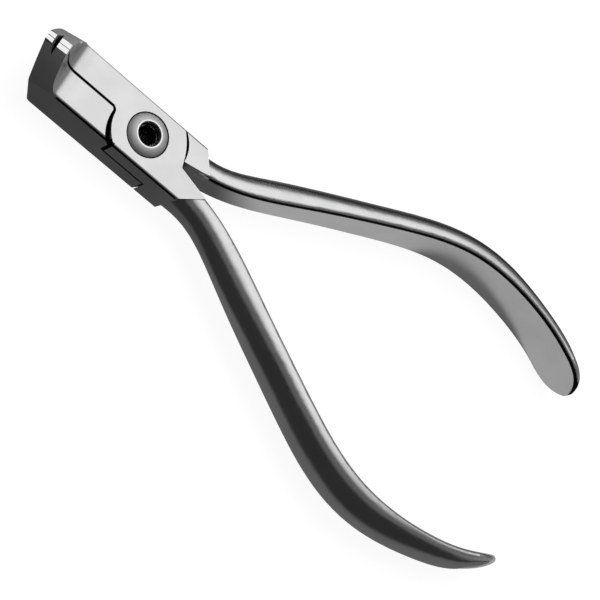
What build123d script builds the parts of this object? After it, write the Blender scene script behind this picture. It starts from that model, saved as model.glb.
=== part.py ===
"""Orthodontic pliers with a lap joint: a distal end cutter with turned-up, carbide-tipped jaws."""
import os
from math import isclose, radians, sqrt, tan

from build123d import *

# The part lies flat. The pivot runs along Z through the origin, X points to the tip,
# and Z = 0 is the flat underside of the head. The upper half carries the lap on top of
# the joint, the jaw on the -Y side and the handle on the +Y side; the lower half is opposite.

# Head and lap joint
head_width = 12.0
head_thickness = 8.0
lap_running_gap = 0.02  # height left between the two laps
parting_gap = 0.26  # between the steel faces of the closed jaws
lap_front_radius = 7.5
lap_top_radius = 7.12  # at the face, above the tapered rebate over the lap's front edge
rebate_depth = 1.4
rebate_taper = 15.2  # degrees
shoulder_clearance = 0.1  # between a lap's front edge and the shoulder ahead of it
lap_front_corner_radius = 0.5
lap_root_fillet = 0.85  # inside corner between the lap and its own jaw
shoulder_nose_radius = 1.0  # rounded corner of the other jaw that follows it
lap_heel = [(-4.95, 6.0), (-6.75, 3.8), (-8.12, 0.55)]  # a lap's rear edge: start, middle, end
heel_seat = [(-5.2, 6.0), (-7.44, 3.7), (-8.22, 0.7)]  # the hollow behind it in the other half
relief_radius = 8.2  # rim of the conical relief over each front shoulder
relief_center = (-0.56, 1.12)
relief_foot_radius = 7.12
relief_depth = 1.45
lap_groove_depth = 0.25  # V groove along the outer edges where the two laps meet
lap_groove_front_x = 4.3
heel_corner_chamfer = 0.22
root_outer_x = -10.5  # where the head's side ends at the handle
lap_root_inner = (-15.3, 2.2)  # inner end of the lap's root
shoulder_root_inner = (-13.6, 1.9)  # and of the shoulder's root, on the other face
crotch = (-8.47, 0.58)
crotch_shoulder = (-12.1, 1.46)
edge_round = 0.65  # along the top face
underside_edge_round = 0.2

# Turned-up tip, measured from the top face of the head
jaw_start_x = 10.0
tip_rear_x = 20.8
tip_front_x = 25.2
tip_rear_height = 4.8
tip_front_height = 4.16
tip_heel_x = 19.4  # foot of the leaning front face, at the underside
tip_heel_radius = 1.0
rear_slope = 64.8  # degrees
rear_slope_fillet = 2.8
tip_land = 1.17  # half width of the flat on top of the tip, at its rear
tip_land_taper = 0.08  # how much narrower for each millimetre forward
flank_front_height = 4.8  # above the underside, where the convex flank meets the side
flank_rise = 0.42  # how much higher it meets the side for each millimetre further back
flank_bulge = 0.33
front_corner_radius = 0.9
land_edge_round = 0.2

# Slot across the tip, and the inserts in front of it and behind it
slot_rear_x = 22.84
slot_front_x = 23.84
slot_floor_x = 22.58
slot_depth = 1.3
insert_width = 1.05
insert_depth = 1.05
braze_thickness = 0.12
insert_meeting_gap = 0.12  # between the cutting edges of the closed jaws

# Pivot screw
screw_head_radius = 4.02
screw_head_depth = 2.2  # below the top face
screw_edge_depth = 0.12  # of the dome's outer edge below the top face
screw_dome_height = 0.8
dome_bulge = 0.2
screw_head_clearance = 0.2
journal_radius = 3.0
journal_clearance = 0.03
thread_radius = 2.4
thread_end_chamfer = 0.3
socket_mouth_radius = 2.2
socket_mouth_depth = 1.3
socket_rim = 0.2
hex_across_flats = 3.6
hex_depth = 1.9

# Handles: the flat inner face follows a line, an arc, a line and an arc
handle_start = (-10.0, 1.34)
neck_angle = 5.46  # degrees outwards from -X
neck_length = 4.1
neck_bend_radius = 22.8
grip_angle = 27.97
grip_length = 35.5
palm_bend_radius = 49.6
palm_end_angle = -32.3
corner_round = 0.85
# Sections along the handle: share of its length, half height, thickness, and how full its
# outer face is above and below the middle, where 0.55 is a true ellipse
handle_sections = [
    (0.00, 3.75, 4.50, 0.60, 0.95),
    (0.06, 3.74, 4.60, 0.55, 0.62),
    (0.13, 4.10, 4.90, 0.55, 0.40),
    (0.28, 5.00, 5.10, 0.55, 0.38),
    (0.42, 5.55, 4.90, 0.55, 0.38),
    (0.58, 6.00, 5.05, 0.55, 0.38),
    (0.74, 6.20, 4.70, 0.55, 0.38),
    (0.86, 6.10, 3.80, 0.55, 0.38),
    (0.93, 6.00, 3.10, 0.55, 0.40),
]
# And along its rounded end, from the last of those
end_sections = [
    handle_sections[-1],
    (0.955, 5.62, 2.75, 0.55, 0.43),
    (0.975, 4.65, 2.30, 0.55, 0.47),
    (0.99, 3.10, 1.70, 0.55, 0.55),
    (1.00, 1.15, 0.95, 0.55, 0.55),
]

half_width = head_width / 2
lap_height = head_thickness / 2
half_parting = parting_gap / 2
shoulder_radius = lap_front_radius + shoulder_clearance
heel_ends = (lap_heel[0][0], heel_seat[0][0])
lap_groove_side = lap_groove_depth * sqrt(2)
lap_axis = Axis((0, 0, lap_height), (1, 0, 0))
reach = 4 * head_width  # longer than any cut
dome_top = head_thickness + screw_dome_height
socket_floor = dome_top - socket_mouth_depth
tolerance = 0.001


def mirrored(points):
    """The same points on the other side of the pivot's centre line."""
    return [(x, -y) for x, y in points]


def head_edges(half, height):
    """The long outer edges of the head at one height."""

    def is_outer(edge):
        middle = edge.center()
        at_side = isclose(abs(middle.Y), half_width, abs_tol=tolerance)
        return at_side and isclose(middle.Z, height, abs_tol=tolerance)

    return half.edges().filter_by(Axis.X).filter_by(is_outer)


def heel_corners(block):
    """The upright outer edges where one half's lap ends and where the other's is seated."""

    def is_corner(edge):
        middle = edge.center()
        at_side = isclose(abs(middle.Y), half_width, abs_tol=tolerance)
        return at_side and any(isclose(middle.X, x, abs_tol=tolerance) for x in heel_ends)

    return block.edges().filter_by(Axis.Z).filter_by(is_corner)


def root_outline(inner, start):
    """The head's side, its slanted end at the handle, and its inner edge back to start."""
    return [(root_outer_x, half_width), inner, crotch_shoulder, start]


# The lap joint's share of one half, as the upper half has it
with BuildPart() as lap_block:
    # Front shoulder of the jaw, with its relief
    with BuildSketch() as jaw_shoulder:
        with Locations((0, -half_parting)):
            Rectangle(jaw_start_x, half_width - half_parting, align=(Align.MIN, Align.MAX))
        Circle(shoulder_radius, mode=Mode.SUBTRACT)
        nose = jaw_shoulder.vertices().sort_by_distance((shoulder_radius, -half_parting, 0))[0]
        fillet(nose, shoulder_nose_radius)
    extrude(amount=lap_height + lap_running_gap / 2)
    with Locations((relief_center[0], -relief_center[1], 0)):
        Cone(
            relief_radius,
            relief_foot_radius,
            relief_depth,
            align=(Align.CENTER, Align.CENTER, Align.MIN),
            mode=Mode.SUBTRACT,
        )
    # Rear shoulder, hollowed to clear the other half's lap
    with BuildSketch():
        with BuildLine():
            seat = ThreePointArc(*heel_seat)
            Polyline(seat @ 0, *root_outline(shoulder_root_inner, seat @ 1))
        make_face()
    extrude(amount=lap_height + lap_running_gap / 2)
    # The lap itself, with the jaw and the handle root that run into it
    with BuildSketch(Plane.XY.offset(lap_height + lap_running_gap / 2)) as lap_plan:
        Circle(lap_front_radius)
        Rectangle(reach, head_width, mode=Mode.INTERSECT)
        offset(amount=-lap_front_corner_radius, mode=Mode.REPLACE)
        offset(amount=lap_front_corner_radius, mode=Mode.REPLACE)
        Rectangle(reach, reach, align=(Align.MIN, Align.CENTER), mode=Mode.INTERSECT)
        with Locations((0, -half_parting)):
            Rectangle(jaw_start_x, half_width - half_parting, align=(Align.MIN, Align.MAX))
        root = lap_plan.vertices().sort_by_distance((lap_front_radius, -half_parting, 0))[0]
        fillet(root, lap_root_fillet)
        with BuildLine():
            heel = ThreePointArc(*mirrored(lap_heel))
            Polyline(heel @ 1, crotch, *reversed(root_outline(lap_root_inner, crotch)[:-1]))
            Polyline((root_outer_x, half_width), (0, half_width), (0, -half_width), heel @ 0)
        make_face()
    extrude(amount=lap_height - lap_running_gap / 2)
    # Tapered rebate over the lap's front edge, with the same inside corner at the jaw
    with BuildSketch(Plane.XY.offset(head_thickness)) as rebate:
        with Locations((0, -half_parting)):
            Rectangle(reach, reach, align=(Align.MIN, Align.MIN))
        Circle(lap_top_radius, mode=Mode.SUBTRACT)
        root = rebate.vertices().sort_by_distance((lap_top_radius, -half_parting, 0))[0]
        fillet(root, lap_root_fillet)
    extrude(amount=-rebate_depth, taper=rebate_taper, mode=Mode.SUBTRACT)
    chamfer(heel_corners(lap_block), heel_corner_chamfer)
    with BuildSketch(Plane.YZ.offset(heel_seat[0][0])):
        with Locations((half_width, lap_height), (-half_width, lap_height)):
            Rectangle(lap_groove_side, lap_groove_side, rotation=45)
    extrude(amount=lap_groove_front_x - heel_seat[0][0], mode=Mode.SUBTRACT)

# One jaw's turned-up end on the +Y side, as a whole form before it is divided
top_run = Vector(tip_front_x - tip_rear_x, 0, tip_front_height - tip_rear_height)
tip_section = Plane(
    origin=(tip_rear_x, 0, head_thickness + tip_rear_height), x_dir=(0, 1, 0), z_dir=top_run
)
slope_foot_x = tip_rear_x - tip_rear_height / tan(radians(rear_slope))


def tip_top(x):
    """Height of the flat on top of the tip, which falls towards the front."""
    fall = (tip_rear_height - tip_front_height) / (tip_front_x - tip_rear_x)
    return head_thickness + tip_rear_height - fall * (x - tip_rear_x)


def tip_side(x):
    """Half width of the flat on top of the tip."""
    return tip_land - tip_land_taper * (x - tip_rear_x)


# What is cut away beside the convex flank, which twists as it runs back into the side
with BuildPart() as flank_cut:
    for x in (jaw_start_x, 2 * tip_front_x - jaw_start_x):
        foot_height = flank_front_height - flank_rise * (x - tip_front_x)
        with BuildSketch(Plane.YZ.offset(x)):
            with BuildLine():
                top_corner = (tip_side(x), tip_top(x))
                flank = SagittaArc(top_corner, (half_width, foot_height), flank_bulge)
                Polyline(
                    flank @ 1, (reach, foot_height), (reach, reach), (tip_side(x), reach), flank @ 0
                )
            make_face()
    loft(ruled=True)

with BuildPart() as tip_form:
    with BuildSketch(Plane.XZ.offset(-insert_meeting_gap / 2)) as side_profile:
        with BuildLine():
            Polyline(
                (jaw_start_x, 0),
                (tip_heel_x, 0),
                (tip_front_x, head_thickness + tip_front_height),
                (tip_rear_x, head_thickness + tip_rear_height),
                (slope_foot_x, head_thickness),
                (jaw_start_x, head_thickness),
                close=True,
            )
        make_face()
        foot = side_profile.vertices().sort_by_distance((slope_foot_x, head_thickness, 0))[0]
        fillet(foot, rear_slope_fillet)
        heel_corner = side_profile.vertices().sort_by_distance((tip_heel_x, 0, 0))[0]
        fillet(heel_corner, tip_heel_radius)
    extrude(amount=-(half_width - insert_meeting_gap / 2))
    front_corner = tip_form.faces().sort_by(Axis.X)[-1].edges().sort_by(Axis.Y)[-1]
    fillet(front_corner, front_corner_radius)
    add(flank_cut.part, mode=Mode.SUBTRACT)
    land_middle_x = (tip_rear_x + tip_front_x) / 2
    land_middle = (land_middle_x, tip_side(land_middle_x), tip_top(land_middle_x))
    fillet(tip_form.edges().sort_by_distance(land_middle)[0], land_edge_round)
    # Slot across the tip
    with BuildSketch(Plane.XZ):
        with BuildLine():
            Polyline(
                (slot_rear_x, tip_top(slot_rear_x)),
                (slot_floor_x, tip_top(slot_floor_x) - slot_depth),
                (slot_front_x, tip_top(slot_front_x)),
                (slot_front_x, tip_top(slot_front_x) + slot_depth),
                (slot_rear_x, tip_top(slot_rear_x) + slot_depth),
                close=True,
            )
        make_face()
    extrude(amount=reach, both=True, mode=Mode.SUBTRACT)

with BuildPart() as insert_bar:
    with BuildSketch(tip_section):
        with Locations((0, -insert_depth)):
            Rectangle(insert_width, reach, align=(Align.MIN, Align.MIN))
    extrude(amount=reach, both=True)

with BuildPart() as insert_pocket:
    with BuildSketch(tip_section):
        with Locations((0, -insert_depth - braze_thickness)):
            Rectangle(insert_width + braze_thickness, reach, align=(Align.MIN, Align.MIN))
    extrude(amount=reach, both=True)

with BuildPart() as jaw_end:
    add(tip_form.part)
    add(insert_pocket.part, mode=Mode.SUBTRACT)
    with Locations((0, half_parting, 0)):
        Box(
            reach * 2,
            reach,
            reach * 2,
            align=(Align.CENTER, Align.MAX, Align.CENTER),
            mode=Mode.SUBTRACT,
        )

with BuildPart() as inserts:
    add(tip_form.part)
    add(insert_bar.part, mode=Mode.INTERSECT)

with BuildPart() as braze:
    add(tip_form.part)
    add(insert_pocket.part, mode=Mode.INTERSECT)
    add(insert_bar.part, mode=Mode.SUBTRACT)


def section_planes(path, sections):
    """Section planes along the handle's inner face, X outwards and Y up."""
    for share, half_height, thickness, *fullness in sections:
        run = path % share
        origin = (path @ share) + Vector(0, 0, lap_height)
        plane = Plane(origin=origin, x_dir=(run.Y, -run.X, 0), z_dir=run * -1)
        yield plane, half_height, thickness, *fullness


# One handle on the +Y side
with BuildLine() as handle_line:
    neck = PolarLine(handle_start, neck_length, 180 - neck_angle)
    neck_bend = JernArc(neck @ 1, neck % 1, neck_bend_radius, neck_angle - grip_angle)
    grip = Line(neck_bend @ 1, (neck_bend @ 1) + (neck_bend % 1) * grip_length)
    palm_bend = JernArc(grip @ 1, grip % 1, palm_bend_radius, grip_angle - palm_end_angle)
handle_path = handle_line.wires()[0]

with BuildPart() as handle:
    for sections in (handle_sections, end_sections):
        for section_plane, half_height, thickness, above, below in section_planes(
            handle_path, sections
        ):
            body = thickness - corner_round
            with BuildSketch(section_plane):
                with BuildLine():
                    inner = Line((0, corner_round - half_height), (0, half_height - corner_round))
                    RadiusArc(inner @ 1, (corner_round, half_height), corner_round)
                    Bezier(
                        (corner_round, half_height),
                        (corner_round + body * above, half_height),
                        (thickness, half_height * above),
                        (thickness, 0),
                    )
                    Bezier(
                        (thickness, 0),
                        (thickness, -half_height * below),
                        (corner_round + body * below, -half_height),
                        (corner_round, -half_height),
                    )
                    RadiusArc((corner_round, -half_height), inner @ 0, corner_round)
                make_face()
        loft()


# Upper half: the lap on top, with the bore and the seat of the screw's head
with BuildPart() as upper_half:
    add(lap_block.part)
    add(mirror(jaw_end.part, Plane.XZ))
    add(handle.part)
    fillet(head_edges(upper_half, head_thickness), edge_round)
    fillet(head_edges(upper_half, 0), underside_edge_round)
    with Locations((0, 0, head_thickness)):
        CounterBoreHole(
            journal_radius + journal_clearance,
            screw_head_radius + screw_head_clearance,
            screw_head_depth,
        )
upper_half.part.label = "upper_half"

# Lower half: the same forging turned over, with its jaw and handle turned up again
with BuildPart() as lower_half:
    add(lap_block.part.rotate(lap_axis, 180))
    add(jaw_end.part)
    add(mirror(handle.part, Plane.XZ))
    fillet(head_edges(lower_half, head_thickness), edge_round)
    fillet(head_edges(lower_half, 0), underside_edge_round)
    Hole(thread_radius)
lower_half.part.label = "lower_half"

# Pivot screw: threaded into the lower half, with its journal and head turning in the upper
with BuildPart() as pivot_screw:
    with BuildSketch(Plane.XZ):
        with BuildLine():
            shank = Polyline(
                (0, 0),
                (thread_radius - thread_end_chamfer, 0),
                (thread_radius, thread_end_chamfer),
                (thread_radius, lap_height - lap_running_gap / 2),
                (journal_radius, lap_height - lap_running_gap / 2),
                (journal_radius, head_thickness - screw_head_depth + lap_running_gap),
                (screw_head_radius, head_thickness - screw_head_depth + lap_running_gap),
                (screw_head_radius, head_thickness - screw_edge_depth),
            )
            dome = SagittaArc(shank @ 1, (socket_mouth_radius + socket_rim, dome_top), -dome_bulge)
            rim = RadiusArc(dome @ 1, (socket_mouth_radius, dome_top - socket_rim), -socket_rim)
            Polyline(rim @ 1, (socket_mouth_radius, socket_floor), (0, socket_floor), (0, 0))
        make_face()
    revolve(axis=Axis.Z)
    with BuildSketch(Plane.XY.offset(socket_floor)):
        RegularPolygon(hex_across_flats / 2, 6, major_radius=False)
    extrude(amount=-hex_depth, mode=Mode.SUBTRACT)
pivot_screw.part.label = "pivot_screw"

os.makedirs("parts", exist_ok=True)
for piece in (upper_half, lower_half, pivot_screw):
    export_step(piece.part, f"parts/{piece.part.label}.step")

# The carbide inserts and the braze under them, behind the slot and in front of it
tip_pieces = {
    "cutting_insert": inserts.solids().sort_by(Axis.X)[0],
    "holding_insert": inserts.solids().sort_by(Axis.X)[-1],
    "cutting_braze": braze.solids().sort_by(Axis.X)[0],
    "holding_braze": braze.solids().sort_by(Axis.X)[-1],
}
for name, solid in tip_pieces.items():
    with BuildPart() as lower_piece:
        add(solid)
    with BuildPart() as upper_piece:
        add(mirror(solid, Plane.XZ))
    lower_piece.part.label = f"lower_{name}"
    upper_piece.part.label = f"upper_{name}"
    export_step(lower_piece.part, f"parts/lower_{name}.step")
    export_step(upper_piece.part, f"parts/upper_{name}.step")
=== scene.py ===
import bpy
from mathutils import Matrix, Vector

# Orthodontic pliers lying closed on a white table, inside a light tent that is open to a white sky

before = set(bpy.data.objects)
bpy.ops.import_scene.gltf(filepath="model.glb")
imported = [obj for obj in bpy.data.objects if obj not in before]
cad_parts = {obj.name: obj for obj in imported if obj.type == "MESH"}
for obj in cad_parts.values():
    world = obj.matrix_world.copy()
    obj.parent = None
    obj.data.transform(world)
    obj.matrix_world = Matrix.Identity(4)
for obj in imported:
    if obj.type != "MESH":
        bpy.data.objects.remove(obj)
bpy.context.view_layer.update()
print("frame loaded:", len(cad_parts), "nodes")

# The camera stands where the photograph was taken from
cameraSetup = {
    "place": (0.07566, 0.14408, 0.27536),
    "forwards": (-0.36044, -0.42945, -0.82804),
    "upwards": (0.60341, -0.7843, 0.1441),
    "lens": 106.73,
    "sensor": 36.0,
    "clipStart": 0.01,
}


def placeCamera(setup):
    back = -Vector(setup["forwards"]).normalized()
    right = Vector(setup["upwards"]).cross(back).normalized()
    turn = Matrix((right, back.cross(right), back)).transposed().to_4x4()
    bpy.ops.object.camera_add()
    camera = bpy.context.object
    camera.name = "photoCamera"
    camera.matrix_world = Matrix.Translation(setup["place"]) @ turn
    camera.data.sensor_width = setup["sensor"]
    camera.data.lens = setup["lens"]
    camera.data.clip_start = setup["clipStart"]
    bpy.context.scene.camera = camera


# Node helpers: a setting is a plain value, or the output of another node
def setInput(tree, socket, value):
    if isinstance(value, bpy.types.NodeSocket):
        tree.links.new(value, socket)
    else:
        socket.default_value = value


def addNode(tree, kind, inputs, **settings):
    node = tree.nodes.new("ShaderNode" + kind)
    for name, value in settings.items():
        setattr(node, name, value)
    for key, value in inputs.items():
        setInput(tree, node.inputs[key], value)
    return node


def mathNode(tree, operation, first, second=0.0):
    return addNode(tree, "Math", {0: first, 1: second}, operation=operation).outputs[0]


def multiply(tree, first, *others):
    for other in others:
        first = mathNode(tree, "MULTIPLY", first, other)
    return first


def highest(tree, first, *others):
    for other in others:
        first = mathNode(tree, "MAXIMUM", first, other)
    return first


def mapRange(tree, value, fromRange, toRange=(0.0, 1.0)):
    inputs = {
        "Value": value,
        "From Min": fromRange[0],
        "From Max": fromRange[1],
        "To Min": toRange[0],
        "To Max": toRange[1],
    }
    return addNode(tree, "MapRange", inputs, interpolation_type="SMOOTHSTEP").outputs[0]


def nearTo(tree, value, middle, half):
    offset = mathNode(tree, "SUBTRACT", value, middle)
    return mapRange(tree, mathNode(tree, "ABSOLUTE", offset), half)


# A Mix node keeps its plain values in inputs 2 and 3, its colours in 6 and 7
def mixValue(tree, factor, first, second):
    return addNode(tree, "Mix", {0: factor, 2: first, 3: second}).outputs[0]


def mixColor(tree, factor, first, second):
    return addNode(tree, "Mix", {0: factor, 6: first, 7: second}, data_type="RGBA").outputs[2]


def noise(tree, vector, scale, detail, roughness=0.5):
    inputs = {"Vector": vector, "Scale": scale, "Detail": detail, "Roughness": roughness}
    return addNode(tree, "TexNoise", inputs).outputs[0]


def vectorMath(tree, operation, inputs, output=0):
    return addNode(tree, "VectorMath", inputs, operation=operation).outputs[output]


def objectPlace(tree):
    return addNode(tree, "TexCoord", {}).outputs["Object"]


def objectFacing(tree):
    return addNode(tree, "TexCoord", {}).outputs["Normal"]


def splitAxes(tree, vector):
    return addNode(tree, "SeparateXYZ", {0: vector}).outputs


def newTree(kind, name):
    block = kind.new(name)
    block.use_nodes = True
    block.node_tree.nodes.clear()
    return block, block.node_tree


def grey(level):
    return (level, level, level, 1.0)


# Effects that several finishes share, each a node group
def newGroup(name, inputs, outputs):
    group = bpy.data.node_groups.new(name, "ShaderNodeTree")
    for label, kind, value in inputs:
        socket = group.interface.new_socket(label, in_out="INPUT", socket_type="NodeSocket" + kind)
        socket.default_value = value
    for label in outputs:
        group.interface.new_socket(label, in_out="OUTPUT", socket_type="NodeSocketFloat")
    entry = group.nodes.new("NodeGroupInput")
    leave = group.nodes.new("NodeGroupOutput")
    return group, entry.outputs, leave.inputs


# Bare bright metal where a corner has been rubbed
wearSetup = {
    "width": 0.0003,
    "breakUp": 900.0,
    "samples": 4,
    "bend": (0.96, 0.8),
    "detail": 3.0,
    "patches": (0.3, 0.6),
    "patchWear": (0.55, 1.0),
}


def makeEdgeWear(setup):
    inputs = [("Width", "Float", setup["width"]), ("Break Up", "Float", setup["breakUp"])]
    group, given, result = newGroup("edgeWear", inputs, ["Mask"])
    rounded = addNode(group, "Bevel", {"Radius": given["Width"]}, samples=setup["samples"]).outputs[0]
    straight = addNode(group, "NewGeometry", {}).outputs["Normal"]
    likeness = vectorMath(group, "DOT_PRODUCT", {0: rounded, 1: straight}, "Value")
    bend = mapRange(group, likeness, setup["bend"])
    patchy = noise(group, objectPlace(group), given["Break Up"], setup["detail"])
    wear = mapRange(group, patchy, setup["patches"], setup["patchWear"])
    setInput(group, result["Mask"], multiply(group, bend, wear))
    return group


# Painted shade: gaps and inside corners are darkened by how closed in they are
creviceShadeSetup = {"reach": 0.001, "open": 0.8, "closed": 0.4, "samples": 6}


def makeCreviceShade(setup):
    inputs = [
        ("Reach", "Float", setup["reach"]),
        ("Open", "Float", setup["open"]),
        ("Closed", "Float", setup["closed"]),
    ]
    group, given, result = newGroup("creviceShade", inputs, ["Mask"])
    shade = addNode(group, "AmbientOcclusion", {"Distance": given["Reach"]}, samples=setup["samples"])
    hidden = mapRange(group, shade.outputs["AO"], (given["Open"], given["Closed"]))
    setInput(group, result["Mask"], hidden)
    return group


# Fine polishing lines along one direction, with a slow drift under them
grainSetup = {
    "lines": (60.0, 900.0, 900.0),
    "drift": 90.0,
    "lineScale": 10.0,
    "lineDetail": 4.0,
    "lineRoughness": 0.6,
    "driftDetail": 3.0,
}


def makeGrain(setup):
    inputs = [("Lines", "Vector", setup["lines"]), ("Drift", "Float", setup["drift"])]
    group, given, result = newGroup("polishGrain", inputs, ["Lines", "Drift"])
    coords = objectPlace(group)
    stretched = vectorMath(group, "MULTIPLY", {0: coords, 1: given["Lines"]})
    lines = noise(group, stretched, setup["lineScale"], setup["lineDetail"], setup["lineRoughness"])
    setInput(group, result["Lines"], lines)
    setInput(group, result["Drift"], noise(group, coords, given["Drift"], setup["driftDetail"]))
    return group


edgeWear = makeEdgeWear(wearSetup)
creviceShade = makeCreviceShade(creviceShadeSetup)
polishGrain = makeGrain(grainSetup)
print("shared effects made")


# Studio
def onlyGlossy(piece):
    piece.visible_camera = False
    piece.visible_diffuse = False
    piece.visible_shadow = False
    piece.visible_transmission = False
    piece.visible_volume_scatter = False


def seesBackground(tree):
    path = addNode(tree, "LightPath", {}).outputs
    return highest(tree, path["Is Camera Ray"], path["Is Glossy Ray"], path["Is Transmission Ray"])


whiteSky = {"seen": 1.0, "lighting": 0.35}


def buildWorld(setup):
    world, tree = newTree(bpy.data.worlds, "whiteSky")
    bpy.context.scene.world = world
    dim = addNode(tree, "Background", {"Color": grey(setup["lighting"])}).outputs[0]
    white = addNode(tree, "Background", {"Color": grey(setup["seen"])}).outputs[0]
    shown = addNode(tree, "MixShader", {0: seesBackground(tree), 1: dim, 2: white}).outputs[0]
    addNode(tree, "OutputWorld", {"Surface": shown})


whiteTable = {"size": 3.0, "height": -0.00225, "glow": 0.93, "paint": 0.12}


def buildTable(setup):
    bpy.ops.object.select_all(action="DESELECT")
    bpy.ops.mesh.primitive_plane_add(size=setup["size"], location=(0, 0, setup["height"]))
    table = bpy.context.object
    table.name = "whiteTable"
    material, tree = newTree(bpy.data.materials, "whiteTable")
    glow = addNode(tree, "Emission", {"Color": grey(setup["glow"])}).outputs[0]
    paint = addNode(tree, "BsdfDiffuse", {"Color": grey(setup["paint"])}).outputs[0]
    lit = addNode(tree, "AddShader", {0: glow, 1: paint}).outputs[0]
    shown = addNode(tree, "MixShader", {0: seesBackground(tree), 1: paint, 2: lit}).outputs[0]
    addNode(tree, "OutputMaterial", {"Surface": shown})
    table.data.materials.append(material)


# The tent is seen only in the polished steel: white above, dark cloth walls
lightTent = {
    "radius": 0.9,
    "segments": 48,
    "rings": 24,
    "lightFrom": (0.07, -0.49, 0.869),
    "opening": (0.61, 0.91),
    "wall": 0.13,
    "openLevel": 1.0,
    "rear": (-0.45, -0.95),
    "rearLevel": 0.25,
    "curtainSide": (0.3, 0.55),
    "curtainTop": (0.78, 0.6),
    "curtainLevel": 0.03,
}


def buildTent(setup):
    bpy.ops.object.select_all(action="DESELECT")
    bpy.ops.mesh.primitive_uv_sphere_add(
        segments=setup["segments"], ring_count=setup["rings"], radius=setup["radius"]
    )
    tent = bpy.context.object
    tent.name = "lightTent"
    bpy.ops.object.shade_smooth()
    material, tree = newTree(bpy.data.materials, "tentCloth")
    outwards = vectorMath(tree, "NORMALIZE", {0: objectPlace(tree)})
    toLight = vectorMath(tree, "DOT_PRODUCT", {0: outwards, 1: setup["lightFrom"]}, "Value")
    along, across, up = splitAxes(tree, outwards)
    level = mapRange(tree, toLight, setup["opening"], (setup["wall"], setup["openLevel"]))
    rear = mapRange(tree, along, setup["rear"], (0.0, setup["rearLevel"]))
    level = highest(tree, level, rear)
    # A black curtain low on the near side darkens the near flanks
    curtain = multiply(
        tree, mapRange(tree, across, setup["curtainSide"]), mapRange(tree, up, setup["curtainTop"])
    )
    level = mixValue(tree, curtain, level, setup["curtainLevel"])
    cloth = addNode(tree, "Emission", {"Color": level}).outputs[0]
    addNode(tree, "OutputMaterial", {"Surface": cloth})
    tent.data.materials.append(material)
    onlyGlossy(tent)


# The card too is seen only in the polished steel: dark, but paler between the handles
floorCard = {
    "size": 2.0,
    "height": -0.0021,
    "nearSide": 0.065,
    "handleSide": 0.14,
    "turn": (-0.005, -0.03),
    "gapStart": -0.014,
    "gapSpread": -0.53,
    "gapHalf": 0.0235,
    "gapLeast": 0.002,
    "gapEdge": (0.001, -0.001),
    "fade": (0.014, 0.027),
    "faded": 0.03,
    "throat": (-0.02, -0.032),
    "throatLevels": (0.08, 0.42),
    "farSide": 0.9,
    "farTip": 0.13,
    "farEdge": (-0.004, -0.006),
    "farRear": (-0.014, -0.010),
    "farFront": (0.017, 0.013),
}


def shadeCard(tree, card):
    along, across = splitAxes(tree, objectPlace(tree))[:2]
    level = mapRange(tree, along, card["turn"], (card["nearSide"], card["handleSide"]))
    # The gap widens from the throat to the palms
    widening = multiply(tree, mathNode(tree, "SUBTRACT", along, card["gapStart"]), card["gapSpread"])
    half = mathNode(tree, "MINIMUM", widening, card["gapHalf"])
    half = highest(tree, half, card["gapLeast"])
    outside = mathNode(tree, "SUBTRACT", mathNode(tree, "ABSOLUTE", across), half)
    level = mixValue(tree, mapRange(tree, outside, card["fade"]), level, card["faded"])
    between = mapRange(tree, along, card["throat"], card["throatLevels"])
    level = mixValue(tree, mapRange(tree, outside, card["gapEdge"]), level, between)
    # White paper beyond the head, and dark again past the tips
    farLevel = mixValue(tree, mapRange(tree, along, card["farFront"]), card["farTip"], card["farSide"])
    beyond = multiply(
        tree, mapRange(tree, across, card["farEdge"]), mapRange(tree, along, card["farRear"])
    )
    return mixValue(tree, beyond, level, farLevel)


def buildFloorCard(card):
    bpy.ops.object.select_all(action="DESELECT")
    bpy.ops.mesh.primitive_plane_add(size=card["size"], location=(0, 0, card["height"]))
    sheet = bpy.context.object
    sheet.name = "floorCard"
    bpy.ops.object.transform_apply(location=True)
    material, tree = newTree(bpy.data.materials, "floorCard")
    paper = addNode(tree, "Emission", {"Color": shadeCard(tree, card)}).outputs[0]
    addNode(tree, "OutputMaterial", {"Surface": paper})
    sheet.data.materials.append(material)
    onlyGlossy(sheet)


softbox = {"place": (0.0, -0.34, 0.94), "size": 0.7, "power": 6.5}


def hangLamp(setup):
    place = Vector(setup["place"])
    bpy.ops.object.light_add(type="AREA", location=place)
    lamp = bpy.context.object
    lamp.name = "softbox"
    lamp.data.shape = "DISK"
    lamp.data.size = setup["size"]
    lamp.data.energy = setup["power"]
    lamp.rotation_euler = place.to_track_quat("Z", "Y").to_euler()
    lamp.visible_glossy = False


placeCamera(cameraSetup)
buildWorld(whiteSky)
buildTable(whiteTable)
buildTent(lightTent)
buildFloorCard(floorCard)
hangLamp(softbox)
print("studio ready")


# Finishes
def placeGroup(tree, group, inputs):
    return addNode(tree, "Group", inputs, node_tree=group).outputs


def grainOf(tree, look):
    return placeGroup(tree, polishGrain, {"Lines": look["lines"], "Drift": look["drift"]})


def wearOf(tree, look):
    return placeGroup(tree, edgeWear, {"Width": look["edgeWidth"], "Break Up": look["edgeBreakUp"]})["Mask"]


# Painted shade mask for gaps and inside corners
def creviceShadeOf(tree, look):
    inputs = {"Reach": look["shadeReach"], "Open": look["shadeOpen"], "Closed": look["shadeClosed"]}
    return placeGroup(tree, creviceShade, inputs)["Mask"]


def addMetal(tree, look, color, rough, relief):
    bump = {"Height": relief, "Strength": look["bump"], "Distance": look["bumpDepth"]}
    inputs = {
        "Base Color": color,
        "Roughness": rough,
        "Metallic": look["metallic"],
        "Normal": addNode(tree, "Bump", bump).outputs[0],
    }
    shader = addNode(tree, "BsdfPrincipled", inputs).outputs[0]
    addNode(tree, "OutputMaterial", {"Surface": shader})
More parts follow.
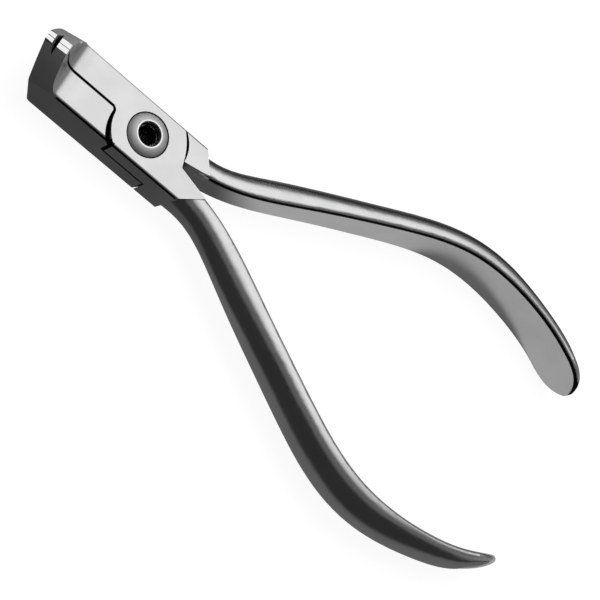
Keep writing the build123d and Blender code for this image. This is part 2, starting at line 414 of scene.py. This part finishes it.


# Painted shade as dark lines: in the parting of the jaws, round the lap and along the rounded edges that
# face the near side
paintedShadeLineLook = {
    "lapHeight": 0.004,
    "side": (0.0053, 0.0057),
    "partingHalf": (0.00034, 0.0002),
    "partingRear": (0.0076, 0.008),
    "grooveHalf": (0.0003, 0.0002),
    "grooveMiddle": -0.00045,
    "grooveLength": (0.0050, 0.0048),
    "frontPlace": 0.0044,
    "frontHalf": (0.00042, 0.0003),
    "frontSide": (0.0, 0.000001),
    "edgeRise": (0.05, 0.2),
    "edgeFall": (0.84, 0.7),
    "edgeFacing": (0.1, 0.2),
    "headTop": (0.007, 0.0072),
    "headSide": (0.005, 0.0052),
    "headRear": (-0.0142, -0.0138),
    "headFront": (0.0172, 0.0168),
    "handleFront": (-0.0138, -0.0142),
    "handleSide": (0.0, -0.0002),
}


def paintedShadeLines(tree, look):
    x, y, z = splitAxes(tree, objectPlace(tree))
    away = mathNode(tree, "ABSOLUTE", y)
    parting = multiply(
        tree, mapRange(tree, away, look["partingHalf"]), mapRange(tree, x, look["partingRear"])
    )
    groove = multiply(
        tree,
        nearTo(tree, z, look["lapHeight"], look["grooveHalf"]),
        nearTo(tree, x, look["grooveMiddle"], look["grooveLength"]),
    )
    # The lap's front edge shows above the lap line on one side and below it on the other
    above = mathNode(tree, "SUBTRACT", z, look["lapHeight"])
    front = multiply(
        tree,
        nearTo(tree, x, look["frontPlace"], look["frontHalf"]),
        mapRange(tree, multiply(tree, y, above), look["frontSide"]),
    )
    flank = multiply(tree, highest(tree, groove, front), mapRange(tree, away, look["side"]))
    return highest(tree, parting, flank, nearEdgeShade(tree, look, (x, y, z)))


# Painted shade: rounded top edges that face +Y are darkened, standing for a dark reflection
def nearEdgeShade(tree, look, place):
    x, y, z = place
    nearwards, upwards = splitAxes(tree, objectFacing(tree))[1:3]
    rolled = multiply(
        tree,
        mapRange(tree, upwards, look["edgeRise"]),
        mapRange(tree, upwards, look["edgeFall"]),
        mapRange(tree, nearwards, look["edgeFacing"]),
    )
    head = multiply(
        tree,
        mapRange(tree, z, look["headTop"]),
        mapRange(tree, y, look["headSide"]),
        mapRange(tree, x, look["headRear"]),
        mapRange(tree, x, look["headFront"]),
    )
    handle = multiply(tree, mapRange(tree, x, look["handleFront"]), mapRange(tree, y, look["handleSide"]))
    return multiply(tree, rolled, highest(tree, head, handle))


# The forged halves: satin polished, with the tips ground duller
steelLook = {
    "bright": (0.76, 0.762, 0.768, 1.0),
    "darker": (0.71, 0.712, 0.718, 1.0),
    "rubbedAndGlint": (0.93, 0.93, 0.93, 1.0),
    "shadeColor": (0.012, 0.012, 0.013, 1.0),
    "cloudy": (0.35, 0.65),
    "lineSpread": (0.3, 0.7),
    "roughness": (0.15, 0.24),
    "shadeRoughness": 0.7,
    "lines": (40.0, 700.0, 700.0),
    "drift": 120.0,
    "edgeWidth": 0.00022,
    "edgeBreakUp": 1500.0,
    "handleEnd": (-0.0925, -0.0915),
    "shadeReach": 0.002,
    "shadeOpen": 0.7,
    "shadeClosed": 0.46,
    "tip": (0.0145, 0.0165),
    "tipRoughness": 0.32,
    "flankFacing": (0.3, 0.5),
    "flankRoughness": 0.5,
    "metallic": 1.0,
    "bump": 0.02,
    "bumpDepth": 0.00001,
}


def makeSteel(look, shadeLineLook):
    material, tree = newTree(bpy.data.materials, "satinSteel")
    grain = grainOf(tree, look)
    along = splitAxes(tree, objectPlace(tree))[0]
    wearAndGlint = multiply(tree, wearOf(tree, look), mapRange(tree, along, look["handleEnd"]))
    # Painted shade: crevices and the dark lines are mixed towards a near-black colour and made rougher
    paintedShade = highest(tree, creviceShadeOf(tree, look), paintedShadeLines(tree, shadeLineLook))
    color = mixColor(tree, mapRange(tree, grain["Drift"], look["cloudy"]), look["darker"], look["bright"])
    color = mixColor(tree, wearAndGlint, color, look["rubbedAndGlint"])
    color = mixColor(tree, paintedShade, color, look["shadeColor"])
    rough = mapRange(tree, grain["Lines"], look["lineSpread"], look["roughness"])
    sideways = mathNode(tree, "ABSOLUTE", splitAxes(tree, objectFacing(tree))[1])
    ground = mapRange(tree, sideways, look["flankFacing"], (look["tipRoughness"], look["flankRoughness"]))
    rough = mixValue(tree, mapRange(tree, along, look["tip"]), rough, ground)
    rough = mixValue(tree, paintedShade, rough, look["shadeRoughness"])
    addMetal(tree, look, color, rough, grain["Lines"])
    return material


# The pivot screw: turned rings round its axis, a painted highlight round the socket rim where the key also
# rubs it bright, and painted shade darkening the domed head towards its outer edge
screwLook = {
    "bright": (0.8, 0.802, 0.808, 1.0),
    "darker": (0.66, 0.662, 0.668, 1.0),
    "rubbedAndGlint": (0.95, 0.95, 0.95, 1.0),
    "shadeColor": (0.006, 0.006, 0.006, 1.0),
    "flatten": (1.0, 1.0, 0.0),
    "ringScale": 9000.0,
    "ringDetail": 3.0,
    "ringSpread": (0.3, 0.7),
    "roughness": (0.6, 0.7),
    "shadeRoughness": 0.8,
    "shadeRadius": (0.0026, 0.0041),
    "rimRadius": (0.00262, 0.0025),
    "rimTop": (0.00836, 0.00842),
    "rimRoughness": 0.12,
    "edgeWidth": 0.00015,
    "edgeBreakUp": 1500.0,
    "shadeReach": 0.004,
    "shadeOpen": 0.72,
    "shadeClosed": 0.48,
    "metallic": 1.0,
    "bump": 0.05,
    "bumpDepth": 0.00001,
}


def makeScrewSteel(look):
    material, tree = newTree(bpy.data.materials, "turnedSteel")
    coords = objectPlace(tree)
    flat = vectorMath(tree, "MULTIPLY", {0: coords, 1: look["flatten"]})
    radius = vectorMath(tree, "LENGTH", {0: flat}, "Value")
    turning = {"W": multiply(tree, radius, look["ringScale"]), "Scale": 1.0, "Detail": look["ringDetail"]}
    rings = addNode(tree, "TexNoise", turning, noise_dimensions="1D").outputs[0]
    height = splitAxes(tree, coords)[2]
    # Painted highlight: a bright ring at the socket rim, partly also key wear
    rimHighlight = multiply(tree, mapRange(tree, radius, look["rimRadius"]), mapRange(tree, height, look["rimTop"]))
    wearAndGlint = highest(tree, wearOf(tree, look), rimHighlight)
    # Painted shade in the socket and round the head
    paintedShade = creviceShadeOf(tree, look)
    # Painted shade: the domed head is darker towards its outer edge
    color = mixColor(tree, mapRange(tree, radius, look["shadeRadius"]), look["bright"], look["darker"])
    color = mixColor(tree, wearAndGlint, color, look["rubbedAndGlint"])
    color = mixColor(tree, paintedShade, color, look["shadeColor"])
    rough = mapRange(tree, rings, look["ringSpread"], look["roughness"])
    rough = mixValue(tree, rimHighlight, rough, look["rimRoughness"])
    rough = mixValue(tree, paintedShade, rough, look["shadeRoughness"])
    addMetal(tree, look, color, rough, rings)
    return material


carbideLook = {
    "bright": (1.0, 1.0, 1.0, 1.0),
    "darker": (0.8, 0.8, 0.81, 1.0),
    "shadeColor": (0.02, 0.02, 0.02, 1.0),
    "scratched": (0.35, 0.65),
    "driftSpread": (0.3, 0.7),
    "roughness": (0.2, 0.34),
    "lines": (50.0, 900.0, 900.0),
    "drift": 300.0,
    "shadeReach": 0.0012,
    "shadeOpen": 0.6,
    "shadeClosed": 0.35,
    "metallic": 1.0,
    "bump": 0.12,
    "bumpDepth": 0.00002,
}


def makeCarbide(look):
    material, tree = newTree(bpy.data.materials, "groundCarbide")
    grain = grainOf(tree, look)
    scratches = mapRange(tree, grain["Lines"], look["scratched"])
    color = mixColor(tree, scratches, look["darker"], look["bright"])
    # Painted shade in the slot between the inserts and along their seams
    color = mixColor(tree, creviceShadeOf(tree, look), color, look["shadeColor"])
    rough = mapRange(tree, grain["Drift"], look["driftSpread"], look["roughness"])
    addMetal(tree, look, color, rough, grain["Lines"])
    return material


brazeLook = {
    "light": (0.16, 0.155, 0.145, 1.0),
    "dark": (0.05, 0.05, 0.048, 1.0),
    "cloudy": (0.35, 0.65),
    "lineSpread": (0.3, 0.7),
    "roughness": (0.5, 0.75),
    "lines": (300.0, 300.0, 300.0),
    "drift": 2500.0,
    "metallic": 0.8,
    "bump": 0.3,
    "bumpDepth": 0.00002,
}


def makeBraze(look):
    material, tree = newTree(bpy.data.materials, "dullBraze")
    grain = grainOf(tree, look)
    color = mixColor(tree, mapRange(tree, grain["Drift"], look["cloudy"]), look["dark"], look["light"])
    rough = mapRange(tree, grain["Lines"], look["lineSpread"], look["roughness"])
    addMetal(tree, look, color, rough, grain["Drift"])
    return material


finishes = {
    "_half": makeSteel(steelLook, paintedShadeLineLook),
    "_screw": makeScrewSteel(screwLook),
    "_insert": makeCarbide(carbideLook),
    "_braze": makeBraze(brazeLook),
}
for name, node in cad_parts.items():
    finish = next(finishes[ending] for ending in finishes if name.endswith(ending))
    node.data.materials.clear()
    node.data.materials.append(finish)
print("finishes placed")

bpy.context.scene.view_settings.view_transform = "Standard"
